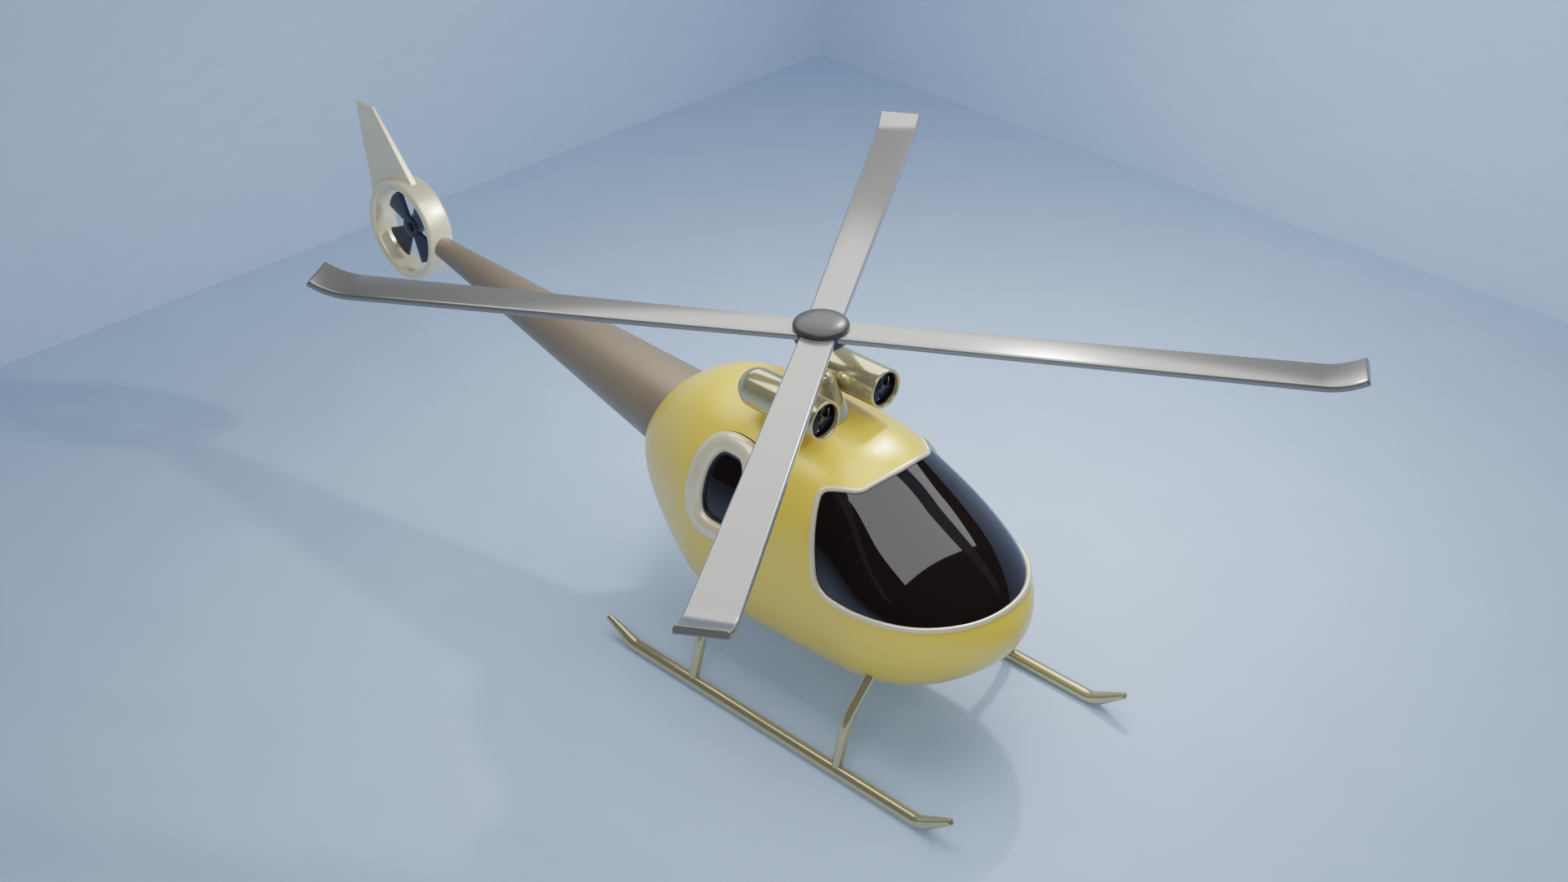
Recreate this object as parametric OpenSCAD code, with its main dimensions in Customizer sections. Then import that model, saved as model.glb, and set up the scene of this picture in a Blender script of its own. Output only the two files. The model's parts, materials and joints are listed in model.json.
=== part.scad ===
// Toy helicopter: clamshell body, four-blade main rotor, ducted tail fan and two intake fans.
// The origin is on the floor under the middle of the whole toy.
// +X points to the nose, +Y to the left side, +Z up. Every module is drawn from the mast and
// then moved to its place by at_mast().

/* [Main rotor] */
// Radius from the mast to a blade tip
rotor_r = 160; // [150:1:162]
// Direction of the first blade at rest, in degrees from the nose
rotor_rest = 33.5; // [20:0.5:70]
// Height of the blades' upper face
blade_top = 121.3; // [120.5:0.1:126]
// Blade thickness
blade_t = 2.3; // [1.6:0.1:2.8]
// Blade width at the hub
blade_root_w = 10.7; // [8:0.1:11]
// Blade width at the tip
blade_tip_w = 14.3; // [11:0.1:16]
// Length of the turned-up tip
blade_curl = 12.5; // [8:0.5:16]
// Radius of the curl
blade_curl_r = 24; // [18:1:40]

/* [Body] */
// Wall of the body shells
body_wall = 2; // [1.6:0.1:2.4]
// Width of the bead around the windshield
bead_w = 1.7; // [1.4:0.1:2.2]
// How far the bead stands proud of the body
bead_proud = 0.8; // [0.4:0.1:1.2]
// Length of a side window's frame
window_len = 30.2; // [28:0.2:32]
// Height of a side window's frame
window_h = 33; // [30:0.5:35]
// Width of the frame around the pane
window_frame_w = 6.4; // [5:0.1:7.5]

/* [Engines] */
// Radius of a nacelle
nacelle_r = 6.5; // [6:0.1:6.6]
// Radius of the intake in the front of a nacelle
intake_r = 5.5; // [5:0.1:5.8]
// Distance of each nacelle from the middle plane
nacelle_y = 13.4; // [13:0.1:14]
// Height of the nacelles' axes
nacelle_z = 100.3; // [99:0.1:102]

/* [Tail] */
// Distance of the tail ring behind the mast
ring_x = 208; // [205:1:212]
// Height of the tail ring's axis
ring_z = 84; // [82:0.5:86]
// Outer radius of the tail ring
ring_ro = 19; // [18.5:0.1:20]
// Inner radius of the tail ring
ring_ri = 15.9; // [15.5:0.1:16.2]
// Width of the tail ring
ring_w = 10.4; // [9:0.1:12]

/* [Skids] */
// Distance of each skid from the middle plane
skid_y = 41.5; // [40:0.5:43]
// Radius of a skid tube
skid_r = 2.2; // [2:0.05:2.4]
// Radius of a strut
strut_r = 1.75; // [1.4:0.05:1.9]

/* [Hidden] */
$fn = 64;

// Fits
run = 0.05;      // radial clearance of a running fit
gap = 0.1;       // end play and the clearance around parts that are set in a sculpted skin
lap = 0.2;       // the straight lengths of a bent tube run this far into its bends
swell = 0.02;    // and a bend is this much thicker than they are
eps = 0.01;
big = 400;

// Where the mast stands, so that the whole toy is centred on the origin
fin_back_x = ring_x + 26.4;
rotor_reach = rotor_r * cos(rotor_rest) + blade_tip_w / 2 * sin(rotor_rest);
mast_x = (fin_back_x - rotor_reach) / 2;

module at_mast() translate([mast_x, 0, 0]) children();
// A sculpted skin is cut as one mesh, and the round things in it are drawn with few sides
module skin() {
  $fn = 24;
  resize([0, 0, 0]) children();
}
module along_x() rotate([0, 90, 0]) children();
module along_y() rotate([-90, 0, 0]) children();
module mirrored(side) mirror([0, side > 0 ? 1 : 0, 0]) children();

// ---- Body form ------------------------------------------------------------------------------
// One row per section, tail to nose:
// [x, half width, top, bottom, height of the widest point, squareness above, squareness below]
body_rows = [
  [-73, 0, 59, 59, 59, 2, 2],
  [-63, 17, 76.2, 41, 59, 2, 2.1],
  [-44, 27.2, 90, 23.5, 58, 2.1, 2.4],
  [-22, 33, 93, 14.6, 56, 2.2, 2.6],
  [10, 32.5, 91, 15, 53, 2.6, 2.6],
  [29, 32.3, 88, 16.5, 51, 2.25, 2.6],
  [46.5, 32.8, 77, 19.5, 50, 2.2, 2.5],
  [63, 27.4, 66, 26.2, 49, 2.15, 2.3],
  [75.5, 14.8, 55.2, 36.2, 48, 2.1, 2.1],
  [80.3, 0, 47, 47, 47, 2, 2]];
last_row = len(body_rows) - 1;
body_mid = (body_rows[0][0] + body_rows[last_row][0]) / 2;
body_half = (body_rows[last_row][0] - body_rows[0][0]) / 2;
body_rings = 30;
body_sides = 32;

// Rows mirrored through each end, so that the tail and the nose close round
function beyond(row) = [row[0], -row[1], row[3], row[2], row[4], row[5], row[6]];
function body_row(i) =
  i < 0 ? beyond(body_rows[1]) : i > last_row ? beyond(body_rows[last_row - 1]) : body_rows[i];

// A smooth curve through the rows; s counts rows from the tail
function body_at(s) =
  let (i = min(floor(s), last_row - 1), t = s - i,
       a = body_row(i - 1), b = body_row(i), c = body_row(i + 1), d = body_row(i + 2))
  0.5 * (2 * b + (c - a) * t + (2 * a - 5 * b + 4 * c - d) * t * t
    + (3 * b - a - 3 * c + d) * t * t * t);

function lame(v, squareness) = sign(v) * pow(abs(v), 2 / squareness);

// One point of a section, with the form grown outwards by grow
function body_point(row, angle, grow) =
  let (upper = sin(angle) >= 0, squareness = upper ? row[5] : row[6],
       height = (upper ? row[2] - row[4] : row[4] - row[3]))
  [body_mid + (row[0] - body_mid) * (1 + grow / body_half),
   max(row[1] + grow, row[1] * 0.3) * lame(cos(angle), squareness),
   row[4] + max(height + grow, height * 0.3) * lame(sin(angle), squareness)];

module body_form(grow = 0) {
  first = 0.1;
  step = (last_row - 2 * first) / (body_rings - 1);
  points = [for (i = [0 : body_rings - 1], j = [0 : body_sides - 1])
    body_point(body_at(first + i * step), 360 * j / body_sides, grow)];
  sides = [for (i = [0 : body_rings - 2], j = [0 : body_sides - 1])
    let (a = i * body_sides + j, b = i * body_sides + (j + 1) % body_sides)
    each [[a, b + body_sides, b], [a, a + body_sides, b + body_sides]]];
  ends = [[for (j = [0 : body_sides - 1]) j],
    [for (j = [body_sides - 1 : -1 : 0]) (body_rings - 1) * body_sides + j]];
  polyhedron(points, concat(sides, ends), convexity = 6);
}

// A layer of the body form between two depths, outer first
module body_layer(outer, inner) {
  difference() {
    body_form(outer);
    body_form(inner);
  }
}

// ---- Windshield opening ---------------------------------------------------------------------
glass_floor = 54.8;     // height of the lower rim
glass_corner_x = 21.3;    // where the roof rim turns down each side
glass_foot_x = 29.3;    // where the side rim meets the lower rim
visor_x = 31.6;         // ends of the roof's front edge
visor_bow = 2;          // how far its middle bows forward
visor_half = 14;        // its half length
visor_root = 21.4;      // half width of the roof where the side rims start

// Seen from the side
module glass_side(grow) {
  offset(r = grow + 7, $fn = 48) offset(delta = -7)
    polygon([[glass_corner_x, big], [glass_corner_x, 85], [glass_foot_x, glass_floor], [big, glass_floor],
      [big, big]]);
}

// The roof between the side rims, seen from above
module visor_plan(grow) {
  front = [for (t = [-1 : 0.25 : 1]) [visor_x + visor_bow * (1 - t * t), visor_half * t]];
  flank = [[0, visor_root + 6], [glass_corner_x - 0.6, visor_root + 6],
    [glass_corner_x + 0.4, visor_root], [visor_x - 1.2, visor_half + 2.3]];
  offset(r = 2 - grow, $fn = 32) offset(delta = -2)
    polygon(concat([for (p = flank) [p[0], -p[1]]], front, [for (k = [3 : -1 : 0]) flank[k]]));
}

// Everything inside the rim, with the rim moved outwards by grow
module glass_space(grow) {
  difference() {
    rotate([90, 0, 0]) linear_extrude(120, center = true) glass_side(grow);
    linear_extrude(150) visor_plan(grow);
  }
}

// ---- Side windows ---------------------------------------------------------------------------
window_x = -12.2;
window_z = 70.3;
window_squareness = 2.4;

module window_outline(inset) {
  polygon([for (t = [0 : 7.5 : 352.5])
    [(window_len / 2 - inset) * lame(cos(t), window_squareness),
     (window_h / 2 - inset) * lame(sin(t), window_squareness)]]);
}

module window_space(side, inset) {
  translate([window_x, side * 25, window_z]) rotate([90, 0, 0])
    linear_extrude(34, center = true) window_outline(inset);
}

module half_space(side) {
  translate([-big / 2, side > 0 ? 0 : -big / 2, -big / 2]) cube([big, big / 2, big]);
}

// ---- Body screws ----------------------------------------------------------------------------
// [x, z] of each screw; the heads are on the left side
screw_places = [[-38, 38], [10, 27], [54, 38], [-33, 79]];
screw_seat = 9;          // distance of the heads' seats from the middle plane
screw_r = 1.2;
screw_head_r = 2.3;
screw_head_t = 1.6;
screw_bite = 9;

module screw_boss(side) {
  intersection() {
    for (p = screw_places) translate([p[0], 0, p[1]]) along_y()
      translate([0, 0, side > 0 ? 0 : -36]) cylinder(r = 3.8, h = 36);
    body_form(-body_wall / 2);
  }
}

module screw_holes() {
  for (p = screw_places) translate([p[0], 0, p[1]]) along_y() {
    translate([0, 0, -screw_bite - 1]) cylinder(r = screw_r + gap, h = screw_bite + screw_seat + 2);
    translate([0, 0, screw_seat]) cylinder(r = screw_head_r + 0.3, h = 40);
  }
}

// ---- Body shells ----------------------------------------------------------------------------
boom_rib_x = -52;

module body_shell(side) {
  color("khaki") skin() difference() {
    union() {
      intersection() {
        body_layer(0, -body_wall);
        half_space(side);
      }
      intersection() {
        union() {
          screw_boss(side);
          // A rib around the root of the boom, and a socket around each strut's peg
          intersection() {
            translate([boom_rib_x, -40, 0]) cube([2, 80, 120]);
            body_form(-body_wall / 2);
          }
          intersection() {
            for (x = [strut_front_x, strut_rear_x]) strut_peg(x, side, strut_r + 1.5, 1.5);
            body_form(-body_wall / 2);
          }
        }
        half_space(side);
      }
    }
    glass_space(bead_w / 2 + gap / 2);
    window_space(side, -gap / 2);
    screw_holes();
    translate([0, 0, 60]) cylinder(r = pylon_seat_r + gap, h = 60);
    boom_form(gap, $fn = 96);
    for (x = [strut_front_x, strut_rear_x]) strut_peg(x, side, strut_r + gap, gap);
  }
}

module body_shell_right() at_mast() body_shell(-1);
module body_shell_left() at_mast() body_shell(1);

module windshield() {
  color([0.03, 0.03, 0.04]) at_mast() skin() intersection() {
    body_layer(-0.3, -body_wall);
    glass_space(-bead_w / 2);
  }
}

module windshield_bead() {
  color("ivory") at_mast() skin() intersection() {
    body_layer(bead_proud, -body_wall + 0.2);
    difference() {
      glass_space(bead_w / 2);
      glass_space(-bead_w / 2 + gap / 2);
    }
  }
}

module window_frame(side) {
  color("ivory") at_mast() skin() intersection() {
    body_layer(2.2, -body_wall);
    difference() {
      window_space(side, 0);
      window_space(side, window_frame_w);
    }
  }
}

module window_frame_right() window_frame(-1);
module window_frame_left() window_frame(1);

module window_pane(side) {
  color([0.03, 0.03, 0.04]) at_mast() skin() intersection() {
    body_layer(-0.8, -body_wall);
    window_space(side, window_frame_w + gap / 2);
  }
}

module window_pane_right() window_pane(-1);
module window_pane_left() window_pane(1);

module body_screws() {
  color("silver") at_mast() for (p = screw_places) translate([p[0], 0, p[1]]) along_y() difference() {
    union() {
      translate([0, 0, -screw_bite]) cylinder(r = screw_r, h = screw_bite + screw_seat + 0.2);
      translate([0, 0, screw_seat]) cylinder(r = screw_head_r, h = screw_head_t);
    }
    translate([-big / 2, -0.3, screw_seat + screw_head_t - 0.7]) cube([big, 0.6, 2]);
  }
}

// ---- Pylon and nacelles ---------------------------------------------------------------------
pylon_seat_r = 9;
pylon_seat_z = 92;
pylon_flange_z = 86;
pylon_foot = 80;
mast_r = 2;
mast_foot = 82;
nacelle_front = 15.1;
nacelle_back = -19.8;
intake_depth = 4;
cross_pin_x = -4.2;
cross_pin_r = 1;
intake_axle_r = 0.6;
intake_fan_x = nacelle_front - intake_depth + 0.4;
intake_fan_t = 1.3;

module engine_pylon() {
  color([0.72, 0.64, 0.42]) at_mast() difference() {
    rotate_extrude() polygon([[0, pylon_foot], [6, pylon_foot], [6, pylon_flange_z],
      [12, pylon_flange_z], [12, pylon_flange_z + 2], [pylon_seat_r, pylon_flange_z + 2],
      [pylon_seat_r, pylon_seat_z], [6.8, 97.6], [4.5, 103.4], [3.6, 105.2], [2.4, 106.4], [0, 107]]);
    translate([0, 0, mast_foot]) cylinder(r = mast_r, h = 40);
    translate([cross_pin_x, 0, nacelle_z]) along_y() cylinder(r = cross_pin_r, h = 40, center = true);
  }
}

// The form of a nacelle around its own axis, nose at +Z
module nacelle(side) {
  dome_z = nacelle_back + nacelle_r;
  lip = 0.4;
  color([0.72, 0.64, 0.42]) at_mast() difference() {
    translate([0, side * nacelle_y, nacelle_z]) along_x() difference() {
      rotate_extrude() union() {
        intersection() {
          translate([0, dome_z]) circle(nacelle_r);
          translate([0, nacelle_back - 1]) square(nacelle_r + 1);
        }
        polygon([[0, dome_z], [nacelle_r, dome_z], [nacelle_r, nacelle_front - lip],
          [nacelle_r - lip, nacelle_front], [0, nacelle_front]]);
      }
      translate([0, 0, nacelle_front - intake_depth]) cylinder(r = intake_r, h = 10);
      translate([0, 0, nacelle_front - intake_depth - 8]) cylinder(r = intake_axle_r, h = 10);
    }
    translate([cross_pin_x, 0, nacelle_z]) along_y()
      cylinder(r = cross_pin_r, h = 2 * nacelle_y, center = true);
  }
}

module nacelle_right() nacelle(-1);
module nacelle_left() nacelle(1);

module nacelle_cross_pin() {
  color("silver") at_mast() translate([cross_pin_x, 0, nacelle_z]) along_y()
    cylinder(r = cross_pin_r, h = 2 * nacelle_y, center = true);
}

// A headed pin that the fan turns on
module intake_axle(side) {
  head_z = intake_fan_x + intake_fan_t + gap;
  color("silver") at_mast() translate([0, side * nacelle_y, nacelle_z]) along_x() union() {
    translate([0, 0, intake_fan_x - 6]) cylinder(r = intake_axle_r, h = head_z - intake_fan_x + 6);
    translate([0, 0, head_z]) cylinder(r = 1, h = 0.7);
  }
}

module intake_axle_right() intake_axle(-1);
module intake_axle_left() intake_axle(1);

// A small fan of four flat blades around its own axis
module intake_fan(side) {
  tip = intake_r - 0.35;
  color([0.06, 0.07, 0.09]) at_mast() translate([intake_fan_x, side * nacelle_y, nacelle_z]) along_x()
    difference() {
      union() {
        cylinder(r = 1.5, h = intake_fan_t);
        for (k = [0 : 3]) rotate(90 * k + 45) intersection() {
          translate([0.9, 0, intake_fan_t / 2]) rotate([14, 0, 0]) linear_extrude(0.6, center = true)
            polygon([[0, -0.55], [tip, -1.9], [tip, 1.9], [0, 0.55]]);
          cylinder(r = tip, h = intake_fan_t);
        }
      }
      translate([0, 0, -1]) cylinder(r = intake_axle_r + run, h = 5);
    }
}

module intake_fan_right() intake_fan(-1);
module intake_fan_left() intake_fan(1);

// ---- Main rotor -----------------------------------------------------------------------------
hub_r = 8.2;
hub_plate_t = 2;
blade_root = 5.8;
hub_low = blade_top - blade_t - hub_plate_t;
bush_r = 3.4;
bush_top = blade_top + 0.3;
mast_top = bush_top + 1.6;
cap_r = 8.7;
cap_h = 3.5;
blade_screw_x = 6.9;
blade_screw_r = 0.6;

module rotor_mast() {
  color("silver") at_mast() union() {
    translate([0, 0, mast_foot]) cylinder(r = mast_r, h = mast_top - mast_foot);
    // A shoulder that carries the bush
    translate([0, 0, hub_low - gap - 1.2]) cylinder(r = 2.9, h = 1.2);
  }
}

module mast_ring() {
  color("silver") at_mast() translate([0, 0, bush_top + gap]) difference() {
    cylinder(r = 3.2, h = 0.8);
    translate([0, 0, -1]) cylinder(r = mast_r, h = 3);
  }
}

module rotor_bush() {
  color([0.72, 0.6, 0.3]) at_mast() difference() {
    translate([0, 0, hub_low]) cylinder(r = bush_r, h = bush_top - hub_low);
    translate([0, 0, hub_low - 1]) cylinder(r = mast_r + run, h = 20);
  }
}

module rotor_hub() {
  color([0.08, 0.09, 0.12]) at_mast() rotate(rotor_rest) difference() {
    translate([0, 0, hub_low]) cylinder(r = hub_r, h = blade_top - hub_low);
    translate([0, 0, hub_low - 1]) cylinder(r = bush_r, h = 20);
    for (k = [0 : 3]) rotate(90 * k) {
      translate([blade_root - gap, -blade_root_w / 2 - gap, blade_top - blade_t])
        cube([20, blade_root_w + 2 * gap, 5]);
      translate([blade_screw_x, 0, hub_low - 1]) cylinder(r = blade_screw_r, h = 10);
    }
  }
}

module rotor_cap() {
  color([0.22, 0.22, 0.23]) at_mast() translate([0, 0, blade_top]) difference() {
    rotate_extrude() polygon(concat([[0, 0]], [for (a = [-10 : 10 : 90])
      [cap_r * pow(cos(a), 0.7), max(0, 0.9 + (cap_h - 0.9) * sin(a) * (a < 0 ? 2 : 1))]]));
    translate([0, 0, -1]) cylinder(r = 4.2, h = 1 + mast_top - blade_top + 0.3);
  }
}

// A blade's outline along its length, seen from the side, with the tip turned up on an arc
module blade_side() {
  flat_end = rotor_r - blade_curl;
  turn = asin(blade_curl / blade_curl_r);
  arc = [for (k = [0 : 8]) turn * k / 8];
  low = blade_curl_r + blade_t;
  polygon(concat(
    [[blade_root, -blade_t], [blade_root, 0]],
    [for (a = arc) [flat_end + blade_curl_r * sin(a), blade_curl_r * (1 - cos(a))]],
    [for (k = [8 : -1 : 0]) let (a = arc[k])
      [min(flat_end + low * sin(a), rotor_r), blade_curl_r - low * cos(a)]]));
}

module rotor_blade(k) {
  color([0.62, 0.62, 0.63]) at_mast() rotate(rotor_rest + 90 * (k - 1)) translate([0, 0, blade_top])
    difference() {
      intersection() {
        rotate([90, 0, 0]) linear_extrude(40, center = true) blade_side();
        translate([0, 0, -10]) linear_extrude(30)
          polygon([[0, -blade_root_w / 2], [rotor_r, -blade_tip_w / 2], [rotor_r, blade_tip_w / 2],
            [0, blade_root_w / 2]]);
      }
      translate([blade_screw_x, 0, -5]) cylinder(r = blade_screw_r, h = 5 - 0.6);
    }
}

module rotor_blade_1() rotor_blade(1);
module rotor_blade_2() rotor_blade(2);
module rotor_blade_3() rotor_blade(3);
module rotor_blade_4() rotor_blade(4);

module blade_screws() {
  head = 0.8;
  color("silver") at_mast() rotate(rotor_rest) for (k = [0 : 3]) rotate(90 * k)
    translate([blade_screw_x, 0, hub_low - head]) {
      cylinder(r = blade_screw_r, h = head + hub_plate_t + blade_t - 0.8);
      cylinder(r = 1, h = head);
    }
}

// ---- Tail -----------------------------------------------------------------------------------
boom_wall = 1.6;
boom_tail_x = -190;
boom_tail_z = 82.45;
boom_tail_r = 3.7;
boom_root_x = -44;
boom_drop = 0.1294;      // fall of the axis per millimetre towards the body
boom_taper = 0.0874;     // growth of the radius per millimetre towards the body
boom_len = boom_root_x - boom_tail_x;
boom_root_r = boom_tail_r + boom_taper * boom_len;
boom_pitch = atan(boom_drop);
boom_true_len = boom_len / cos(boom_pitch);
fan_tip_r = 13.8;
fan_hub_r = 4.2;
fan_y = -0.6;
fan_len = 3.2;
fan_axle_r = 1;
fan_rest = 46;
bridge_y = fan_y + fan_len + gap;
bridge_t = 1.8;

// The boom's cone around its own axis, tail end at the origin and the root at +Z
module boom_cone(r0, r1) {
  translate([boom_tail_x, 0, boom_tail_z]) rotate([0, 90 + boom_pitch, 0]) cylinder(r1 = r0, r2 = r1,
    h = boom_true_len);
}

module boom_form(grow) boom_cone(boom_tail_r + grow, boom_root_r + grow);

module tail_ring_bore(r, w) {
  translate([-ring_x, 0, ring_z]) along_y() cylinder(r = r, h = w, center = true);
}

module tail_boom() {
  color([0.47, 0.42, 0.38]) at_mast() difference() {
    union() {
      boom_form(0);
      // A flange behind the rib keeps the boom in the body
      translate([boom_tail_x, 0, boom_tail_z]) rotate([0, 90 + boom_pitch, 0])
        translate([0, 0, boom_true_len - 2.5]) cylinder(r = boom_root_r + 1.6, h = 2.5);
    }
    translate([boom_tail_x, 0, boom_tail_z]) rotate([0, 90 + boom_pitch, 0]) translate([0, 0, 12])
      cylinder(r1 = boom_tail_r + boom_taper * 12 - boom_wall, r2 = boom_root_r - boom_wall + eps,
        h = boom_true_len - 12 + eps);
    tail_ring_bore(ring_ro, 40);
    tail_screw_hole(0);
  }
}

// Holes of the two screws that hold the boom and the fin to the ring; they point out of its axis
tail_screw_turns = [-5, 115];
module tail_screw_hole(k) {
  translate([-ring_x, 0, ring_z]) rotate([0, -tail_screw_turns[k], 0]) along_x()
    translate([0, 0, ring_ri - 1]) cylinder(r = 0.8, h = ring_ro - ring_ri + 6);
}

module tail_ring() {
  round_r = (ring_ro - ring_ri) / 2;
  mid_r = (ring_ro + ring_ri) / 2;
  color("ivory") at_mast() difference() {
    translate([-ring_x, 0, ring_z]) along_y() rotate_extrude() union() {
      translate([ring_ri, -ring_w / 2 + round_r]) square([ring_ro - ring_ri, ring_w - 2 * round_r]);
      for (s = [-1, 1]) translate([mid_r, s * (ring_w / 2 - round_r)]) circle(round_r);
    }
    for (k = [0, 1]) tail_screw_hole(k);
    tail_fan_bar(3.1, gap);
  }
}

// The fin is a wedge, thick at the ring and thin at the top
module tail_fin() {
  foot = ring_z - 3;
  color("ivory") at_mast() difference() {
    intersection() {
      rotate([90, 0, 0]) linear_extrude(20, center = true) polygon([[-ring_x - 17.5, foot],
        [-ring_x + 4.8, foot], [-ring_x + 4.8, ring_z + 17.5], [-ring_x - 16.4, ring_z + 42.4],
        [-ring_x - 26.4, ring_z + 42.4], [-ring_x - 18.6, ring_z + 3]]);
      rotate([90, 0, 90]) linear_extrude(2 * big, center = true) polygon([[-1.9, foot], [1.9, foot],
        [0.6, ring_z + 43], [-0.6, ring_z + 43]]);
    }
    tail_ring_bore(ring_ro, 40);
    tail_screw_hole(1);
  }
}

module tail_screws() {
  color("silver") at_mast() for (turn = tail_screw_turns) translate([-ring_x, 0, ring_z])
    rotate([0, -turn, 0]) along_x() {
      translate([0, 0, ring_ri - 0.8]) cylinder(r = 1.3, h = 0.7);
      translate([0, 0, ring_ri - 0.8]) cylinder(r = 0.8, h = ring_ro - ring_ri + 5);
    }
}

// The bar across the ring that carries the fan
module tail_fan_bar(w, grow) {
  translate([-ring_x, bridge_y + bridge_t / 2, ring_z]) rotate([0, -fan_rest, 0])
    cube([2 * ring_ri + 2, bridge_t + 2 * grow, w + 2 * grow], center = true);
}

module tail_fan_bridge() {
  color([0.06, 0.07, 0.09]) at_mast() difference() {
    union() {
      tail_fan_bar(3.1, 0);
      translate([-ring_x, bridge_y, ring_z]) along_y() cylinder(r = 3, h = bridge_t);
    }
    tail_fan_hole(fan_axle_r);
  }
}

module tail_fan_hole(r) {
  translate([-ring_x, 0, ring_z]) along_y() cylinder(r = r, h = 30, center = true);
}

module tail_fan_axle() {
  color([0.35, 0.35, 0.37]) at_mast() translate([-ring_x, 0, ring_z]) along_y() {
    translate([0, 0, fan_y - gap]) cylinder(r = fan_axle_r, h = bridge_y + bridge_t - fan_y + gap);
    translate([0, 0, fan_y - gap - 0.7]) cylinder(r = 1.7, h = 0.7);
  }
}

module tail_fan() {
  color([0.06, 0.07, 0.09]) at_mast() translate([-ring_x, fan_y, ring_z]) difference() {
    union() {
      along_y() cylinder(r = fan_hub_r, h = fan_len);
      for (k = [0 : 3]) rotate([0, -(fan_rest + 90 * k), 0]) intersection() {
        translate([0, fan_len / 2, 0]) rotate([-3, 0, 0]) rotate([90, 0, 0])
          linear_extrude(1.1, center = true)
          polygon([[2, -1.6], [fan_tip_r, -6.4], [fan_tip_r, 6.4], [2, 1.6]]);
        along_y() cylinder(r = fan_tip_r, h = fan_len);
      }
    }
    along_y() translate([0, 0, -1]) cylinder(r = fan_axle_r + run, h = fan_len + 2);
  }
}

// ---- Skids ----------------------------------------------------------------------------------
rest_flat = 0.15;        // depth of the flat along the underside of each runner
skid_z = skid_r - rest_flat;
skid_back = -43.9;
skid_front = 81.7;
skid_bend_r = 10;
skid_tip_r = 1.1;
front_rise = 32.8;       // slope of the front end, in degrees
rear_rise = 21.2;
front_run = 14.2;        // length of the front end from the bend
rear_run = 13.5;
strut_front_x = 47.6;
strut_rear_x = -15.7;
strut_low = 75;          // slope of a strut's lower part, in degrees
strut_high = 48;         // slope of its upper part
strut_bend_r = 20;

// A turned-up end: the bend and the tapering tip, starting at the origin along +X
module skid_end(rise, run_len) {
  setback = skid_bend_r * tan(rise / 2);
  translate([-setback, 0, 0]) {
    rotate([90, 0, 0]) translate([0, skid_bend_r, 0]) rotate(-90) rotate_extrude(angle = rise)
      translate([skid_bend_r, 0]) circle(skid_r + swell);
    translate([skid_bend_r * sin(rise), 0, skid_bend_r * (1 - cos(rise))]) rotate([0, 90 - rise, 0])
      translate([0, 0, -lap]) cylinder(r1 = skid_r, r2 = skid_tip_r, h = run_len - setback + lap);
  }
}

module skid(side) {
  front_set = skid_bend_r * tan(front_rise / 2);
  rear_set = skid_bend_r * tan(rear_rise / 2);
  color([0.72, 0.64, 0.42]) at_mast() difference() {
    translate([0, side * skid_y, skid_z]) union() {
      translate([skid_back + rear_set - lap, 0, 0]) along_x()
        cylinder(r = skid_r, h = skid_front - skid_back - front_set - rear_set + 2 * lap);
      translate([skid_front, 0, 0]) skid_end(front_rise, front_run);
      translate([skid_back, 0, 0]) mirror([1, 0, 0]) skid_end(rear_rise, rear_run);
    }
    translate([-big / 2, side * skid_y - 5, -5]) cube([big, 10, 5]);
  }
}

module skid_right() skid(-1);
module skid_left() skid(1);

// A strut in its own plane: from the skid up the lower slope, round the bend and into the body.
// It is drawn for the left side, with the skid's centre at the origin and inwards as -X.
strut_low_len = 13;
strut_high_len = 9.3;
strut_peg_len = 8;

function strut_bend_start() = [-strut_low_len * cos(strut_low), strut_low_len * sin(strut_low)];
function strut_bend_end() = let (turn = strut_low - strut_high)
  strut_bend_start() + strut_bend_r * [-sin(strut_low) + sin(strut_high), -cos(strut_low) + cos(strut_high)];

module strut_lower(r) {
  rotate([90, 0, 0]) rotate(180 - strut_low) along_x() cylinder(r = r, h = strut_low_len + lap);
}

module strut_bend(r) {
  start = strut_bend_start();
  centre = [start[0] - strut_bend_r * sin(strut_low), start[1] - strut_bend_r * cos(strut_low)];
  rotate([90, 0, 0]) translate([centre[0], centre[1], 0]) rotate(90 - strut_low)
    rotate_extrude(angle = strut_low - strut_high) translate([strut_bend_r, 0]) circle(r + swell);
}

module strut_upper(r, from, len) {
  end = strut_bend_end();
  rotate([90, 0, 0]) translate([end[0], end[1], 0]) rotate(180 - strut_high) along_x()
    translate([0, 0, from]) cylinder(r = r, h = len);
}

// Puts a strut's plane across the toy at x, on the given side
module strut_place(x, side) {
  translate([x, side * skid_y, skid_z]) mirrored(-side) rotate(90) children();
}

// The hole or the socket for a strut's upper part, which goes past its end by beyond_end
module strut_peg(x, side, r, beyond_end) {
  strut_place(x, side) strut_upper(r, 0, strut_high_len + strut_peg_len + beyond_end);
}

module strut(x, side) {
  color([0.72, 0.64, 0.42]) at_mast() difference() {
    strut_place(x, side) union() {
      strut_lower(strut_r);
      strut_bend(strut_r);
      strut_upper(strut_r, -lap, strut_high_len + strut_peg_len + lap);
    }
    translate([-big / 2, side * skid_y, skid_z]) along_x() cylinder(r = skid_r, h = big);
  }
}

module strut_front_right() strut(strut_front_x, -1);
module strut_front_left() strut(strut_front_x, 1);
module strut_rear_right() strut(strut_rear_x, -1);
module strut_rear_left() strut(strut_rear_x, 1);

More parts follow.
